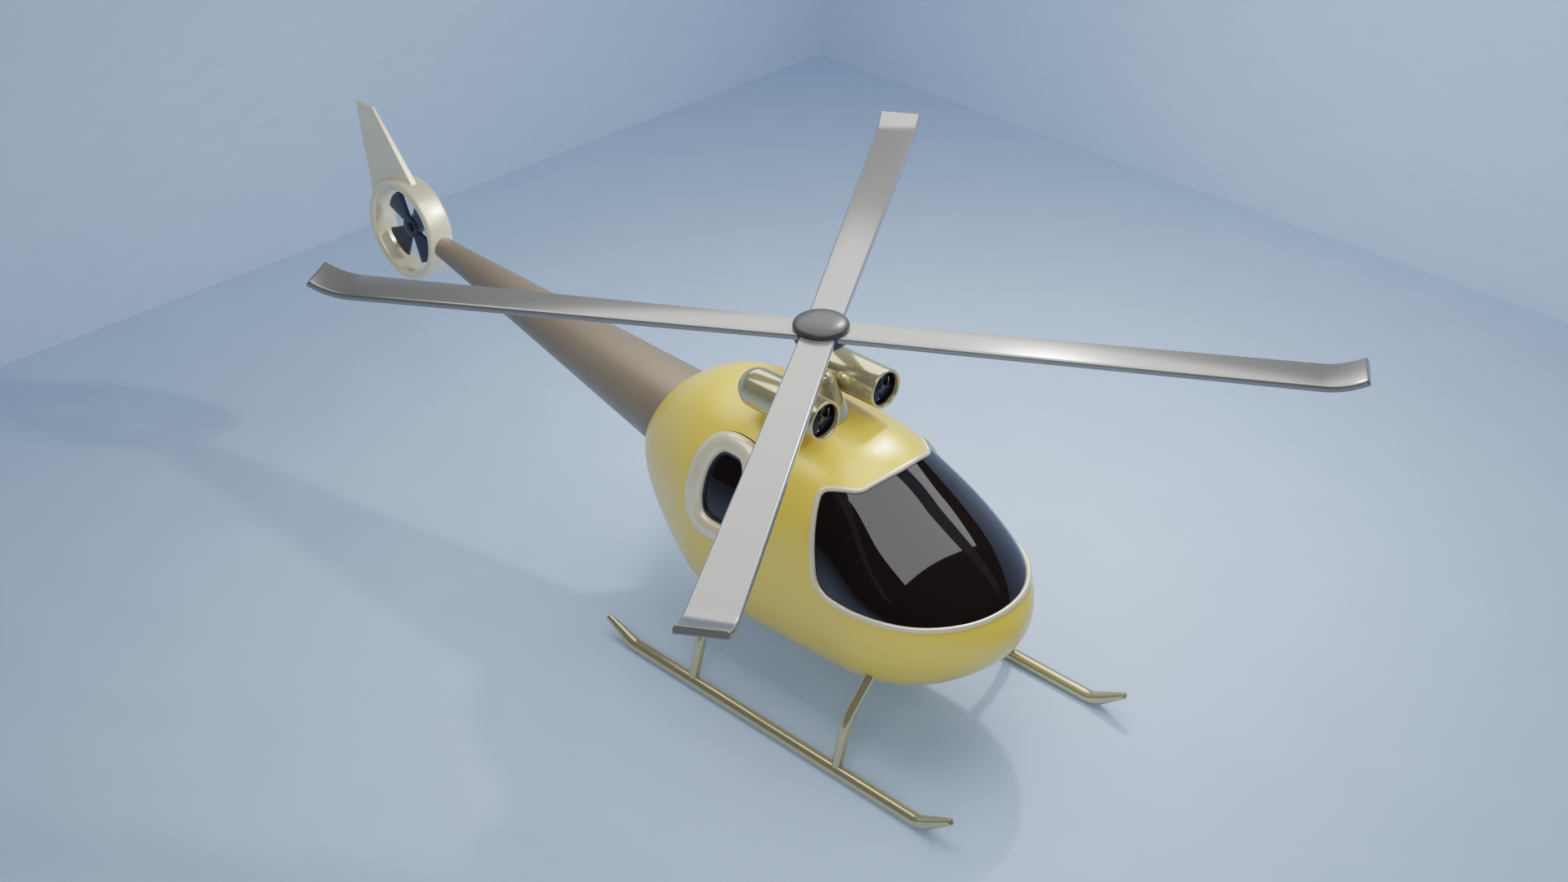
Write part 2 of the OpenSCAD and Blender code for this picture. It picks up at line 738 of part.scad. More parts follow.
body_shell_right();
body_shell_left();
windshield();
windshield_bead();
window_frame_right();
window_frame_left();
window_pane_right();
window_pane_left();
body_screws();
engine_pylon();
nacelle_right();
nacelle_left();
nacelle_cross_pin();
intake_axle_right();
intake_axle_left();
rotor_mast();
mast_ring();
tail_boom();
tail_ring();
tail_fin();
tail_screws();
tail_fan_bridge();
tail_fan_axle();
skid_right();
skid_left();
strut_front_right();
strut_front_left();
strut_rear_right();
strut_rear_left();
rotor_bush();
rotor_hub();
rotor_cap();
rotor_blade_1();
rotor_blade_2();
rotor_blade_3();
rotor_blade_4();
blade_screws();
tail_fan();
intake_fan_right();
intake_fan_left();
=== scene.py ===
"""Looks of the toy helicopter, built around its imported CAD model.

Shapes are written in millimetres from the mast's axis, with +X to the nose, +Y to the left and
+Z up, and are moved to the shared frame in metres as they are made.
"""
import json
import math

import bpy
import numpy as np
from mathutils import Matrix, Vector


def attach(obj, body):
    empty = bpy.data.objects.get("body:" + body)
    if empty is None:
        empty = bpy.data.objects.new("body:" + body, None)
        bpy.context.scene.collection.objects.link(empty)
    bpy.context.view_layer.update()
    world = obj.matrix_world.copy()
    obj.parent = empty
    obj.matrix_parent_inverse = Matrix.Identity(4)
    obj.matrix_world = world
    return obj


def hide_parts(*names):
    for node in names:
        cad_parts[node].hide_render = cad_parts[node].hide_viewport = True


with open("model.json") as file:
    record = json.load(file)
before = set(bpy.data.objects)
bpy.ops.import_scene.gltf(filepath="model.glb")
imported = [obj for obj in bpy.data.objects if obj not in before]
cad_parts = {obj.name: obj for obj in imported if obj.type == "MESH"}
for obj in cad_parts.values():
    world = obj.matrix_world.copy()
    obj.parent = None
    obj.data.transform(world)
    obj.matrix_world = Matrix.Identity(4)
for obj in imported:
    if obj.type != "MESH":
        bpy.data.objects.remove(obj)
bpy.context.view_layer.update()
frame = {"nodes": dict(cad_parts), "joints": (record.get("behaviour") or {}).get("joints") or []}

MM = 0.001
JOINTS = {j["name"]: j for j in frame["joints"]}
MAST_X = JOINTS["rotor_spin"]["pos_m"][0] / MM
RING_X = JOINTS["tail_fan_spin"]["pos_m"][0] / MM - MAST_X
RING_Z = JOINTS["tail_fan_spin"]["pos_m"][2] / MM
NACELLE_Y = JOINTS["intake_spin_left"]["pos_m"][1] / MM
NACELLE_Z = JOINTS["intake_spin_left"]["pos_m"][2] / MM
SIDES = {"right": -1, "left": 1}


# ---- Materials ------------------------------------------------------------------------------
BROAD_CELLS = 38.0        # cells a metre of the slow colour variation
GRAIN_HEIGHT = 0.00004    # in metres


def material(name, colour, rough, metal=0.0, spread=0.03, grain=0.02, bump=0.02, size=900.0, **extra):
    """A surface with a soft colour variation, uneven gloss and a fine grain.

    spread is how far the colour varies, grain how far the roughness does, and size is the
    fineness of the grain in cells a metre."""
    mat = bpy.data.materials.new(name)
    mat.use_nodes = True
    nodes, links = mat.node_tree.nodes, mat.node_tree.links
    shader = nodes["Principled BSDF"]
    place = nodes.new("ShaderNodeTexCoord")

    def noise(scale, detail):
        node = nodes.new("ShaderNodeTexNoise")
        node.inputs["Scale"].default_value = scale
        node.inputs["Detail"].default_value = detail
        links.new(place.outputs["Object"], node.inputs["Vector"])
        return node.outputs["Fac"]

    def spread_to(fac, low, high):
        node = nodes.new("ShaderNodeMapRange")
        node.inputs["From Min"].default_value = 0.3
        node.inputs["From Max"].default_value = 0.7
        node.inputs["To Min"].default_value = low
        node.inputs["To Max"].default_value = high
        links.new(fac, node.inputs["Value"])
        return node.outputs["Result"]

    broad = noise(BROAD_CELLS, 2.0)
    mix = nodes.new("ShaderNodeMix")
    mix.data_type = "RGBA"
    mix.inputs["A"].default_value = [max(0.0, c * (1 - spread)) for c in colour] + [1]
    mix.inputs["B"].default_value = [min(1.0, c * (1 + spread)) for c in colour] + [1]
    links.new(spread_to(broad, 0.0, 1.0), mix.inputs["Factor"])
    links.new(mix.outputs["Result"], shader.inputs["Base Color"])

    fine = noise(size, 3.0)
    links.new(spread_to(fine, max(0.0, rough - grain), rough + grain), shader.inputs["Roughness"])
    relief = nodes.new("ShaderNodeBump")
    relief.inputs["Strength"].default_value = bump
    relief.inputs["Distance"].default_value = GRAIN_HEIGHT
    links.new(fine, relief.inputs["Height"])
    links.new(relief.outputs["Normal"], shader.inputs["Normal"])

    shader.inputs["Metallic"].default_value = metal
    for key, value in extra.items():
        shader.inputs[key.replace("_", " ")].default_value = value
    return mat


POLISHED = {"spread": 0.01, "grain": 0.004, "bump": 0.0}
DARK_GLOSS = {"spread": 0.1, "grain": 0.005, "bump": 0.0}
MATS = {
    "body_yellow": material("satin_yellow", (0.74, 0.50, 0.07), 0.36, metal=0.2, Coat_Weight=0.4,
                            Coat_Roughness=0.28),
    "dark_glaze": material("dark_glaze", (0.006, 0.004, 0.004), 0.03, size=300.0, **DARK_GLOSS),
    "ivory_trim": material("ivory_satin", (0.72, 0.64, 0.45), 0.30, metal=0.45),
    "boom_taupe": material("taupe_satin", (0.20, 0.158, 0.11), 0.40, metal=0.35),
    "pale_brass": material("pale_brass", (0.52, 0.465, 0.28), 0.16, metal=0.75, **POLISHED),
    "blade_grey": material("blade_silver", (0.235, 0.231, 0.224), 0.19, metal=0.68, **POLISHED),
    "hub_black": material("hub_black", (0.012, 0.015, 0.026), 0.22, **DARK_GLOSS),
    "cap_grey": material("cap_grey", (0.02, 0.02, 0.02), 0.33, Specular_IOR_Level=0.38),
    "bush_brass": material("turned_brass", (0.6, 0.44, 0.18), 0.25, metal=1.0, bump=0.05),
    "pin_steel": material("pin_steel", (0.5, 0.5, 0.52), 0.28, metal=1.0, bump=0.05),
}


# ---- Making pieces --------------------------------------------------------------------------
def piece(name, verts, faces, body, slot, replaces=(), normals=None, crease=38.0, flat_shade=False):
    """A mesh piece from points in millimetres; normals are one for each corner of each face."""
    mesh = bpy.data.meshes.new(name)
    points = (np.asarray(verts, float) + [MAST_X, 0, 0]) * MM
    mesh.from_pydata(points.tolist(), [], [list(f) for f in faces])
    mesh.validate()
    mesh.shade_smooth()
    if normals is None:
        mesh.set_sharp_from_angle(angle=math.radians(crease))
    else:
        mesh.normals_split_custom_set(np.asarray(normals).tolist())
    mesh.materials.append(MATS[slot])
    obj = bpy.data.objects.new(name, mesh)
    bpy.context.scene.collection.objects.link(obj)
    if flat_shade:
        weighted = obj.modifiers.new("flat_faces", "WEIGHTED_NORMAL")
        weighted.keep_sharp = True
        weighted.weight = 100
    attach(obj, body)
    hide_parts(*replaces)
    return obj


def joined(*meshes):
    """Several (verts, faces) meshes as one."""
    verts, faces = [], []
    for v, f in meshes:
        faces += [[i + len(verts) for i in face] for face in f]
        verts += [list(p) for p in v]
    return verts, faces


def fillet(points, radius, steps=5):
    """A polyline (r, h) with its inner corners rounded; radius is one number or one per point."""
    points = [np.array(p, float) for p in points]
    out = [points[0]]
    for i in range(1, len(points) - 1):
        r = radius[i] if hasattr(radius, "__len__") else radius
        before, here, after = points[i - 1], points[i], points[i + 1]
        u, v = before - here, after - here
        lu, lv = np.linalg.norm(u), np.linalg.norm(v)
        u, v = u / lu, v / lv
        half = math.acos(np.clip(u @ v, -1, 1)) / 2
        if r <= 0 or half > math.radians(88):
            out.append(here)
            continue
        reach = min(r / math.tan(half), 0.48 * lu, 0.48 * lv)
        r = reach * math.tan(half)
        centre = here + (u + v) / np.linalg.norm(u + v) * r / math.sin(half)
        a, b = here + u * reach - centre, here + v * reach - centre
        turn = math.pi - 2 * half
        for k in range(steps + 1):
            t = k / steps
            out.append(centre + (math.sin((1 - t) * turn) * a + math.sin(t * turn) * b) / math.sin(turn))
    out.append(points[-1])
    return out


def lathe(profile, to_world, n=96):
    """A turned solid. profile is (r, h) from one end to the other, with h along the axis, and
    to_world takes points with the axis on +Z."""
    verts, faces, rings = [], [], []
    for r, h in profile:
        if r < 1e-6:
            rings.append([len(verts)] * n)
            verts.append((0, 0, h))
        else:
            rings.append(list(range(len(verts), len(verts) + n)))
            verts += [(r * math.cos(2 * math.pi * k / n), r * math.sin(2 * math.pi * k / n), h)
                      for k in range(n)]
    for a, b in zip(rings, rings[1:]):
        for k in range(n):
            m = (k + 1) % n
            face = [a[k], a[m], b[m], b[k]]
            faces.append([v for j, v in enumerate(face) if v != face[j - 1]])
    return to_world(np.array(verts, float)), faces


def loop_lathe(profile, to_world, n=128):
    """A turned ring, whose profile (r, h) is a closed loop."""
    m = len(profile)
    verts = [(r * math.cos(2 * math.pi * k / n), r * math.sin(2 * math.pi * k / n), h)
             for k in range(n) for r, h in profile]
    faces = [[k * m + j, ((k + 1) % n) * m + j, ((k + 1) % n) * m + (j + 1) % m, k * m + (j + 1) % m]
             for k in range(n) for j in range(m)]
    return to_world(np.array(verts, float)), faces


def axis_frame(origin, ex, ey, ez):
    """Takes points with axes x, y, z to the given directions, from the given origin."""
    basis = np.array([ex, ey, ez], float)
    return lambda p: np.asarray(p, float) @ basis + np.array(origin, float)


def along_x(origin):
    return axis_frame(origin, (0, 1, 0), (0, 0, 1), (1, 0, 0))


def along_y(origin):
    return axis_frame(origin, (1, 0, 0), (0, 0, -1), (0, 1, 0))


def along_z(origin):
    return axis_frame(origin, (1, 0, 0), (0, 1, 0), (0, 0, 1))


def ring_faces(n, m, closed=False):
    """The faces between n rings of m points; the ends are closed unless the rings run round."""
    faces = [[i * m + j, i * m + (j + 1) % m, (i + 1) % n * m + (j + 1) % m, (i + 1) % n * m + j]
             for i in range(n if closed else n - 1) for j in range(m)]
    if not closed:
        faces += [list(range(m))[::-1], list(range((n - 1) * m, n * m))]
    return faces


def sweep(centres, sides, ups, sections, closed=False):
    """A solid through sections [(side, up)] placed at each centre."""
    verts = []
    for c, s, u, section in zip(centres, sides, ups, sections):
        verts += [c + s * a + u * b for a, b in section]
    return verts, ring_faces(len(centres), len(sections[0]), closed)


# ---- Body form ------------------------------------------------------------------------------
# x, half width, top, bottom, height of the widest point, squareness above, squareness below
ROWS = np.array([
    [-73, 0, 59, 59, 59, 2, 2],
    [-63, 17, 76.2, 41, 59, 2, 2.1],
    [-44, 27.2, 90, 23.5, 58, 2.1, 2.4],
    [-22, 33, 93, 14.6, 56, 2.2, 2.6],
    [10, 32.5, 91, 15, 53, 2.6, 2.6],
    [29, 32.3, 88, 16.5, 51, 2.25, 2.6],
    [46.5, 32.8, 77, 19.5, 50, 2.2, 2.5],
    [63, 27.4, 66, 26.2, 49, 2.15, 2.3],
    [75.5, 14.8, 55.2, 36.2, 48, 2.1, 2.1],
    [80.3, 0, 47, 47, 47, 2, 2]], float)
LAST = len(ROWS) - 1
TINY = 1e-6


def beyond(row):
    """A row mirrored through the end next to it, so that the end closes round."""
    return row[[0, 1, 3, 2, 4, 5, 6]] * [1, -1, 1, 1, 1, 1, 1]


TABLE = np.vstack([beyond(ROWS[1]), ROWS, beyond(ROWS[-2])])


def row_at(s):
    """The section s rows from the tail, on a smooth curve through the rows."""
    s = np.asarray(s, float)
    i = np.clip(np.floor(s).astype(int), 0, LAST - 1)
    t = (s - i)[..., None]
    a, b, c, d = (TABLE[i + k] for k in range(4))
    return 0.5 * (2 * b + (c - a) * t + (2 * a - 5 * b + 4 * c - d) * t ** 2
                  + (3 * b - a - 3 * c + d) * t ** 3)


def body_point(s, turn):
    """The surface point s rows from the tail, turn radians round the section from the left."""
    x, w, top, low, waist, up, down = np.moveaxis(row_at(s), -1, 0)
    c, d = np.cos(turn), np.sin(turn)
    h = np.maximum(np.where(d >= 0, top - waist, waist - low), TINY)
    p = np.where(d >= 0, up, down)
    r = (np.abs(c / np.maximum(w, TINY)) ** p + np.abs(d / h) ** p) ** (-1 / p)
    return np.stack([x, r * c, waist + r * d], -1)


def body_normal(s, turn):
    """The outward normal at a surface point."""
    step = 1e-3
    s = np.clip(s, 3 * step, LAST - 3 * step)
    along = body_point(s + step, turn) - body_point(s - step, turn)
    around = body_point(s, turn + step) - body_point(s, turn - step)
    n = np.cross(around, along)
    return n / np.linalg.norm(n, axis=-1, keepdims=True)


S_FINE = np.linspace(0, LAST, 3601)
X_FINE = row_at(S_FINE)[:, 0]


def s_of(x):
    """How many rows from the tail a section at x is."""
    return np.interp(x, X_FINE, S_FINE)


def locate(points):
    """The (s, turn) of points near the surface."""
    points = np.asarray(points, float)
    s = s_of(points[..., 0])
    return s, np.arctan2(points[..., 2] - row_at(s)[..., 4], points[..., 1])


def seen_from_above(x, y):
    """The points of the upper surface at x and y."""
    row = row_at(s_of(x))
    w, h, p = row[..., 1], row[..., 2] - row[..., 4], row[..., 5]
    z = row[..., 4] + h * np.maximum(1 - np.abs(y / w) ** p, 0) ** (1 / p)
    return np.stack([x, y, z], -1)


def seen_from_side(x, z, side):
    """The surface points at x and z on one side."""
    row = row_at(s_of(x))
    above = z >= row[..., 4]
    h = np.where(above, row[..., 2] - row[..., 4], row[..., 4] - row[..., 3])
    p = np.where(above, row[..., 5], row[..., 6])
    y = row[..., 1] * np.maximum(1 - np.abs((z - row[..., 4]) / h) ** p, 0) ** (1 / p)
    return np.stack([x, side * y, z], -1)


def even(points, gap, closed=True):
    """The polyline resampled at an even spacing."""
    points = np.vstack([points, points[:1]]) if closed else np.asarray(points)
    steps = np.linalg.norm(np.diff(points, axis=0), axis=1)
    keep = np.r_[True, steps > 1e-9]
    points = points[keep]
    length = np.r_[0, np.cumsum(np.linalg.norm(np.diff(points, axis=0), axis=1))]
    n = int(round(length[-1] / gap))
    at = np.linspace(0, length[-1], n + 1)[:n if closed else n + 1]
    return np.stack([np.interp(at, length, points[:, k]) for k in range(3)], -1)


def lame(v, squareness):
    """One coordinate of a superellipse, from a sine or cosine; squareness 2 is an ellipse."""
    return np.sign(v) * np.abs(v) ** (2 / squareness)


# ---- Windshield rim and window outlines -----------------------------------------------------
ROOF_X = 31.3                # ends of the roof's front edge
ROOF_BOW = 2.3               # how far its middle bows forward
ROOF_CORNER_Y = 15.6         # half that edge's length
SIDE_TOP = (21.2, 21.8)      # where the roof edge turns down each side: x, y
SIDE_FOOT = (29.5, 54.7)     # where the side edge turns forwards: x, z
RIM_REACH = (2.4, 2.8, 6.5)  # how far each corner's rounding reaches
RIM_STEP = 0.6               # spacing of the rim's points
WINDOW_X, WINDOW_Z = -12.0, 70.3   # middle of the outline
WINDOW_A, WINDOW_B = 14.7, 16.4    # its half length and half height
WINDOW_SQUARE = 2.7
WINDOW_STEP = 0.7            # spacing of the outline's points


def rim_path():
    """The closed rim of the windshield on the body's surface."""
    t = np.linspace(0, 1, 160)
    roof = seen_from_above(ROOF_X + ROOF_BOW * (1 - t ** 2), t * ROOF_CORNER_Y)
    shoulder = seen_from_above(ROOF_X + (SIDE_TOP[0] - ROOF_X) * t,
                               ROOF_CORNER_Y + (SIDE_TOP[1] - ROOF_CORNER_Y) * t)
    top_z = shoulder[-1][2]
    side = seen_from_side(SIDE_TOP[0] + (SIDE_FOOT[0] - SIDE_TOP[0]) * t,
                          top_z + (SIDE_FOOT[1] - top_z) * t, 1)
    ahead = np.linspace(SIDE_FOOT[0], X_FINE[-1], 4000)
    nose_x = ahead[row_at(s_of(ahead))[:, 2] > SIDE_FOOT[1]][-1]
    low = seen_from_side(nose_x - (nose_x - SIDE_FOOT[0]) * (1 - t) ** 2,
                         np.full_like(t, SIDE_FOOT[1]), 1)
    low[-1, 1] = 0
    path = [roof, shoulder, side, low]
    for k, reach in enumerate(RIM_REACH):
        a, b = path[k], path[k + 1]
        corner = b[0]
        keep_a = np.linalg.norm(a - corner, axis=1) > reach
        keep_b = np.linalg.norm(b - corner, axis=1) > reach
        a, b = a[keep_a], b[keep_b]
        u = np.linspace(0, 1, 24)[1:-1, None]
        bend = (1 - u) ** 2 * a[-1] + 2 * u * (1 - u) * corner + u ** 2 * b[0]
        path[k], path[k + 1] = np.vstack([a, bend]), b
    half = np.vstack(path)
    half = body_point(*locate(half))
    other = half[::-1][1:-1] * [1, -1, 1]
    return even(np.vstack([half, other]), RIM_STEP)


def window_path(side):
    """The closed outer edge of a window's frame on the body's surface."""
    t = np.linspace(0, 2 * math.pi, 721)[:-1]
    return even(seen_from_side(WINDOW_X + WINDOW_A * lame(np.cos(t), WINDOW_SQUARE),
                               WINDOW_Z + WINDOW_B * lame(np.sin(t), WINDOW_SQUARE), side), WINDOW_STEP)


def inside_loop(px, py, loop_x, loop_y):
    """Which points are inside a closed flat loop."""
    hit = np.zeros(px.shape, bool)
    for x0, y0, x1, y1 in zip(loop_x, loop_y, np.roll(loop_x, -1), np.roll(loop_y, -1)):
        crosses = (y0 > py) != (y1 > py)
        if y0 != y1:
            hit ^= crosses & (px < (x1 - x0) * (py - y0) / (y1 - y0) + x0)
    return hit


def gap_to_loop(points, loop, limit=8.0):
    """The distance of each point from a closed line, where it is under the limit."""
    flat = points.reshape(-1, 3)
    out = np.full(len(flat), limit)
    # A rough pass over every eighth point of the line finds the points that are near it
    rough = np.full(len(flat), 1e9)
    for q in loop[::8]:
        rough = np.minimum(rough, ((flat - q) ** 2).sum(1))
    near = np.where(rough < (limit + 6) ** 2)[0]
    best = np.full(len(near), limit ** 2)
    p = flat[near]
    for a, b in zip(loop, np.roll(loop, -1, axis=0)):
        d = b - a
        t = np.clip(((p - a) @ d) / (d @ d), 0, 1)
        best = np.minimum(best, ((p - a - t[:, None] * d) ** 2).sum(1))
    out[near] = np.sqrt(best)
    return out.reshape(points.shape[:-1])


def inside_rim(points, rim):
    """How far each surface point is inside the rim; negative outside."""
    s, turn = locate(points)
    rim_s, rim_turn = locate(rim)
    sign = np.where(inside_loop(s, turn, rim_s, rim_turn), 1.0, -1.0)
    return sign * gap_to_loop(points, rim)


def inside_window(points, outline, side):
    """How far each surface point is inside a window's outline; negative outside."""
    sign = np.where(inside_loop(points[..., 0], points[..., 2], outline[:, 0], outline[:, 2])
                    & (points[..., 1] * side > 0), 1.0, -1.0)
    return sign * gap_to_loop(points, outline)


# ---- Skins cut from the body form -----------------------------------------------------------
def cut_grid(s_values, turns, keep):
    """The part of a grid on the body form where keep > 0, cut straight across its cells.

    keep is one value for each grid point. Returns s and turn of the points, and the faces."""
    ns, nt = len(s_values), len(turns)
    params = [(s, turn) for s in s_values for turn in turns]
    values = np.asarray(keep).reshape(-1)
    cut = {}

    def corner(i, j):
        at_tip = s_values[i] <= 0 or s_values[i] >= LAST
        return i * nt + (nt // 2 if at_tip else j)

    def crossing(a, b):
        key = (min(a, b), max(a, b))
        if key not in cut:
            t = values[a] / (values[a] - values[b])
            pa, pb = params[a], params[b]
            cut[key] = len(params)
            params.append((pa[0] + (pb[0] - pa[0]) * t, pa[1] + (pb[1] - pa[1]) * t))
        return cut[key]

    polygons = []
    for i in range(ns - 1):
        for j in range(nt - 1):
            ids = [corner(i, j), corner(i, j + 1), corner(i + 1, j + 1), corner(i + 1, j)]
            ids = [v for k, v in enumerate(ids) if v != ids[k - 1]]
            if all(values[v] <= 0 for v in ids) or len(ids) < 3:
                continue
            out = []
            for k, v in enumerate(ids):
                before = ids[k - 1]
                if (values[v] > 0) != (values[before] > 0):
                    out.append(crossing(before, v))
                if values[v] > 0:
                    out.append(v)
            if len(out) > 2:
                polygons.append(out)

    used = sorted({v for f in polygons for v in f})
    new = {v: k for k, v in enumerate(used)}
    s = np.array([params[v][0] for v in used])
    turn = np.array([params[v][1] for v in used])
    return s, turn, [[new[v] for v in f] for f in polygons]


def skin(s_values, turns, keep, outer, inner):
    """The part of the body form where keep > 0, as a closed shell between two depths.

    Returns points, faces and a normal for each corner of each face."""
    s, turn, polygons = cut_grid(s_values, turns, keep)
    n = len(s)
    base, normal = body_point(s, turn), body_normal(s, turn)
    tips = (s <= 0) | (s >= LAST)
    base[tips] = np.stack([np.where(s[tips] <= 0, ROWS[0, 0], ROWS[-1, 0]), 0 * s[tips],
                           np.where(s[tips] <= 0, ROWS[0, 4], ROWS[-1, 4])], -1)
    normal[tips] = np.stack([np.where(s[tips] <= 0, -1, 1), 0 * s[tips], 0 * s[tips]], -1)
    verts = np.vstack([base + outer * normal, base + inner * normal])

    edges = dict.fromkeys((a, b) for f in polygons for a, b in zip(f, f[1:] + f[:1]))
    walls = [[b, a, a + n, b + n] for a, b in edges if (b, a) not in edges]
    faces = polygons + [[v + n for v in f[::-1]] for f in polygons] + walls
    normals = [normal[v] for f in polygons for v in f]
    normals += [-normal[v] for f in polygons for v in f[::-1]]
    for f in walls:
        c = np.cross(verts[f[1]] - verts[f[0]], verts[f[3]] - verts[f[0]])
        normals += [c / max(np.linalg.norm(c), 1e-12)] * 4
    return verts, faces, normals


def even_rows(s_from, s_to, gap):
    """Sections at about an even spacing along the body's back."""
    s = np.linspace(s_from, s_to, 2001)
    row = row_at(s)
    top = np.stack([row[:, 0], row[:, 2]], -1)
    wide = np.stack([row[:, 0], row[:, 1]], -1)
    step = np.maximum(np.linalg.norm(np.diff(top, axis=0), axis=1),
                      np.linalg.norm(np.diff(wide, axis=0), axis=1))
    length = np.r_[0, np.cumsum(step)]
    return np.interp(np.linspace(0, length[-1], int(length[-1] / gap) + 1), length, s)


def grid_points(s_values, turns):
    """The surface points of a grid."""
    s, turn = np.meshgrid(s_values, turns, indexing="ij")
    return body_point(s, turn)


WALL = 2.0                   # thickness of the shells
SKIN_GAP = 0.4               # between a skin's edge and the line of the trim over it
SKIN_CELL, GLASS_CELL, PANE_CELL = 1.2, 1.0, 0.9
SCREWS = [(-38, 38), (10, 27), (54, 38), (-33, 79)]    # x, z
SCREW_SEAT = 9               # distance of the heads' seats from the middle plane
SCREW_HOLE, SHANK_HOLE, SCREW_BOSS = 2.6, 1.3, 3.8     # radii
SCREW_FLOOR = 3              # thickness under each head
rim = rim_path()
windows = {name: window_path(side) for name, side in SIDES.items()}


def body_skin(name, side):
    """A half shell, open at the windshield, at its window and, on the left, over the screws."""
    s_values = even_rows(0, LAST, SKIN_CELL)
    turns = np.linspace(-math.pi / 2, math.pi / 2, 105)
    if side < 0:
        turns = turns + math.pi
    points = grid_points(s_values, turns)
    keep = np.minimum(-inside_rim(points, rim), -inside_window(points, windows[name], side)) - SKIN_GAP
    if side > 0:
        for x, z in SCREWS:
            hole = np.hypot(points[..., 0] - x, points[..., 2] - z) - SCREW_HOLE
            keep = np.minimum(keep, hole)
    verts, faces, normals = skin(s_values, turns, keep, 0.0, -WALL)
    piece(f"skin_{name}", verts, faces, "airframe", "body_yellow", [f"body_shell_{name}"], normals)


def screw_sleeve(x, z):
    """The counterbore of a body screw, from its seat out to the left skin."""
    turn = np.linspace(0, 2 * math.pi, 49)[:-1]
    loops = []
    for r, sunk in ((SCREW_BOSS, 1.2), (SCREW_HOLE + 0.25, 0.05), (SCREW_HOLE, 0.35)):
        mouth = seen_from_side(x + r * np.cos(turn), z + r * np.sin(turn), 1)
        mouth[:, 1] -= sunk
        loops.append(mouth)
    low = SCREW_SEAT - SCREW_FLOOR
    for r, y in ((SCREW_HOLE, SCREW_SEAT), (SHANK_HOLE, SCREW_SEAT), (SHANK_HOLE, low), (SCREW_BOSS, low)):
        loops.append(np.stack([x + r * np.cos(turn), np.full_like(turn, y), z + r * np.sin(turn)], -1))
    n, m = len(loops), len(turn)
    faces = [[i * m + j, (i + 1) % n * m + j, (i + 1) % n * m + (j + 1) % m, i * m + (j + 1) % m]
             for i in range(n) for j in range(m)]
    return np.vstack(loops), faces


for name, side in SIDES.items():
    body_skin(name, side)
piece("screw_sleeves", *joined(*[screw_sleeve(x, z) for x, z in SCREWS]), "airframe", "body_yellow",
      crease=30)

# The windshield, cut from a grid that runs from the roof to the nose
GLASS_SUNK = 0.3
GLASS_SPAN = (ROOF_X - 12, 78.5)
s_values = even_rows(s_of(GLASS_SPAN[0]), s_of(GLASS_SPAN[1]), GLASS_CELL)
turns = np.linspace(0.02, math.pi - 0.02, 151)
keep = inside_rim(grid_points(s_values, turns), rim) - SKIN_GAP
verts, faces, normals = skin(s_values, turns, keep, -GLASS_SUNK, -WALL)
piece("windshield_glaze", verts, faces, "airframe", "dark_glaze", ["windshield"], normals)


# ---- Mouldings ------------------------------------------------------------------------------
def surface_frames(path):
    """The in-surface sideways direction and the normal at each point of a closed path."""
    normal = body_normal(*locate(path))
    ahead = np.roll(path, -1, axis=0) - np.roll(path, 1, axis=0)
    ahead /= np.linalg.norm(ahead, axis=1, keepdims=True)
    side = np.cross(ahead, normal)
    side /= np.linalg.norm(side, axis=1, keepdims=True)
    return side, normal


def moulding(path, section):
    """A section [(side, up)] run round a closed path on the body."""
    side, normal = surface_frames(path)
    return sweep(path, side, normal, [section] * len(path), closed=True)


def ellipse(half, up, squareness=2.0, n=24, low=None):
    """A rounded section; low is its depth below the surface if it isn't the same as above."""
    t = np.arange(n) * 2 * math.pi / n
    v = lame(np.sin(t), squareness)
    return list(zip(half * lame(np.cos(t), squareness), np.where(v > 0, v * up, v * (low or up))))


BEAD_HALF, BEAD_PROUD = 0.85, 0.8
piece("windshield_bead_ring", *moulding(rim, ellipse(BEAD_HALF, BEAD_PROUD, 2.2, low=1.7)), "airframe",
      "ivory_trim", ["windshield_bead"], crease=80)

FRAME_HALF = 3.4             # half width of a window's frame
FRAME_PROUD = 2.7
PANE_SUNK = 0.9
PANE_LAP = 1.0               # how far a pane runs under its frame
TRIM_STEP = 0.8              # spacing of the sections along a moulding


def side_window(name, side):
    """A window's frame, its pane, and a thin black ring between them that is painted shade along the frame's
    inner edge.
    """
    outline = windows[name]
    across, _ = surface_frames(outline)
    inwards = across * np.sign(((outline.mean(0) - outline) * across).sum(1))[:, None]

    def line(inset):
        return even(body_point(*locate(outline + inwards * inset)), TRIM_STEP)

    tube = ellipse(FRAME_HALF, FRAME_PROUD, 2.1, n=32, low=1.9)
    piece(f"window_tube_{name}", *moulding(line(FRAME_HALF), tube), "airframe", "ivory_trim",
          [f"window_frame_{name}"], crease=80)
    s_values = even_rows(s_of(WINDOW_X - 16), s_of(WINDOW_X + 16), PANE_CELL)
    turns = np.linspace(-0.1, 1.25, 61)
    if side < 0:
        turns = math.pi - turns[::-1]
    keep = inside_window(grid_points(s_values, turns), outline, side) - 2 * FRAME_HALF + PANE_LAP
    verts, faces, normals = skin(s_values, turns, keep, -PANE_SUNK, -WALL)
    piece(f"window_glaze_{name}", verts, faces, "airframe", "dark_glaze", [f"window_pane_{name}"], normals)
    # A thin black ring sunk just inside the frame: painted shade where the frame slopes down to the pane
    painted_shade_ring = [(a, b - 0.7) for a, b in ellipse(0.8, 0.45, n=12)]
    piece(f"window_painted_shade_{name}", *moulding(line(2 * FRAME_HALF - 0.1), painted_shade_ring), "airframe", "hub_black",
          crease=80)


for name, side in SIDES.items():
    side_window(name, side)


